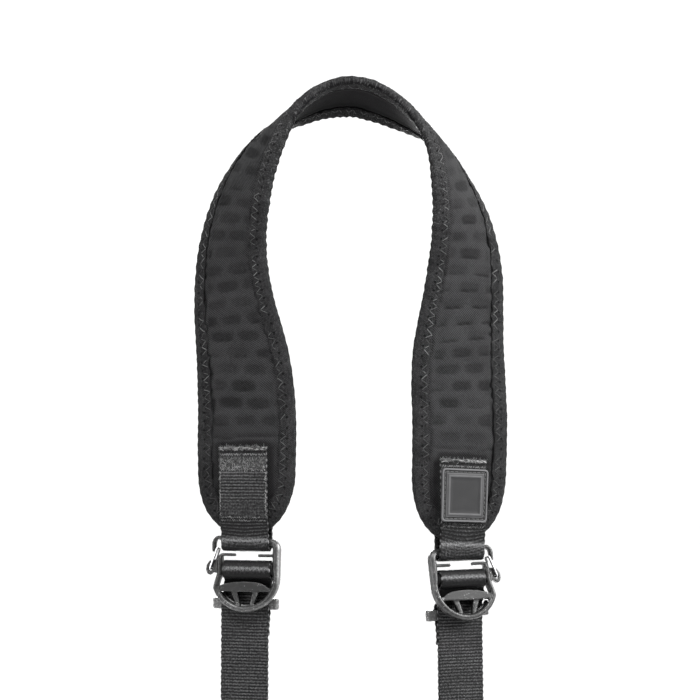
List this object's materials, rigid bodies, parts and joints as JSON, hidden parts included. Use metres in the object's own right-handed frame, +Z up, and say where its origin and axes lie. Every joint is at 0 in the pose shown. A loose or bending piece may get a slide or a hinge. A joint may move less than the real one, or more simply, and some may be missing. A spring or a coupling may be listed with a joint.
{
  "type": "binocular strap",
  "caption": "Padded contoured neck strap with bound edges, hanging in an arch, with flat webbing ends held by cast metal hook buckles with wire gates.",
  "frame": {"origin": "on the pad's inner face at the apex, where the strap rests on the nape of the neck", "axes": "+Z up, the arms hang down towards -Z, -Y is the front of the strap, +X is its right side as seen from the front"},
  "size_m": [0.1576, 0.0536, 0.3217],
  "materials": {
    "pad_cloth": "matt dotted weave over perforated foam",
    "binding_tape": "matt folded tape with pale zigzag stitching",
    "webbing": "ribbed weave with a dull sheen",
    "patch_rubber": "moulded, satin",
    "cast_metal": "gunmetal, speckled satin casting",
    "wire_steel": "bright drawn wire"
  },
  "bodies": {
    "strap": {"neck_pad": "pad_cloth", "edge_binding": "binding_tape", "upper_webbing_left": "webbing", "upper_webbing_right": "webbing", "tail_webbing_left": "webbing", "tail_webbing_right": "webbing", "label_patch": "patch_rubber", "hook_frame_left": "cast_metal", "hook_frame_right": "cast_metal", "strap_keeper_left": "cast_metal", "strap_keeper_right": "cast_metal"},
    "gate_left": {"wire_gate_left": "wire_steel"},
    "gate_right": {"wire_gate_right": "wire_steel"}
  },
  "joints": [
    {"name": "gate_left_hinge", "type": "hinge", "parent": "strap", "child": "gate_left", "pos_m": [-0.07074, -0.01623, -0.23724], "axis": [0.3731, 0.9219, -0.1045], "range_deg": [0, 8], "stiffness_Nm_per_rad": 0.01, "springref_deg": -17.19},
    {"name": "gate_right_hinge", "type": "hinge", "parent": "strap", "child": "gate_right", "pos_m": [0.07201, -0.01907, -0.24227], "axis": [0.2802, -0.9244, 0.2588], "range_deg": [0, 8], "stiffness_Nm_per_rad": 0.01, "springref_deg": -17.19}
  ]
}
